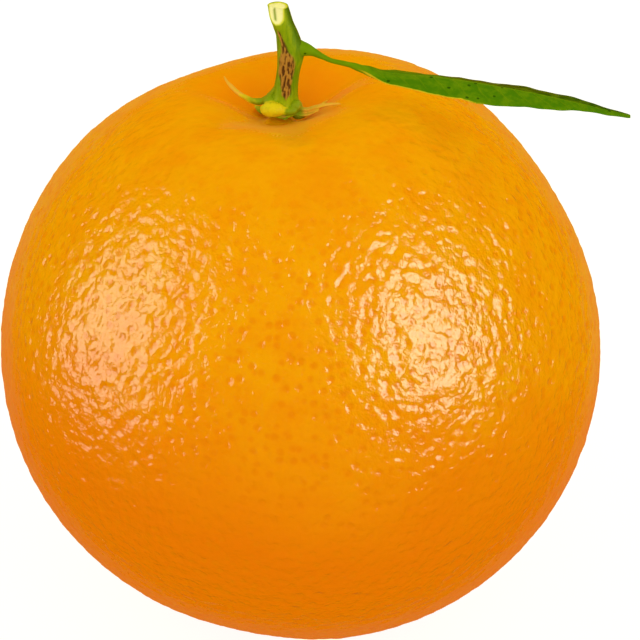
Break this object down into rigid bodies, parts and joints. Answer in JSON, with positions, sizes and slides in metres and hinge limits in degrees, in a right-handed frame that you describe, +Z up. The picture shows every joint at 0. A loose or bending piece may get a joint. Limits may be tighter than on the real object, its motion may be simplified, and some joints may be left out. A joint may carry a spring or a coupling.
{
  "type": "sweet orange with stem and leaf",
  "caption": "Whole round orange fruit with dimpled peel, a sunken stem hollow, star-shaped calyx, short cut stem and a narrow green leaf, standing on a small flat spot.",
  "frame": {"origin": "middle of the flat spot that the fruit stands on", "axes": "+Z up along the fruit towards the stem, +X towards the side that the leaf grows to"},
  "size_m": [0.0779, 0.076, 0.0837],
  "materials": {
    "peel": "waxy, glossy orange peel with fine oil-gland dimples",
    "calyx": "satin yellow-green plant tissue with dry pale tips",
    "stem_bark": "satin green bark with a corky brown streak and a pale cut end",
    "leaf": "semi-gloss green leaf with veins and a thin pale margin"
  },
  "bodies": {
    "root": {"fruit": "peel", "calyx": "calyx", "stem": "stem_bark", "leaf": "leaf"}
  },
  "joints": []
}
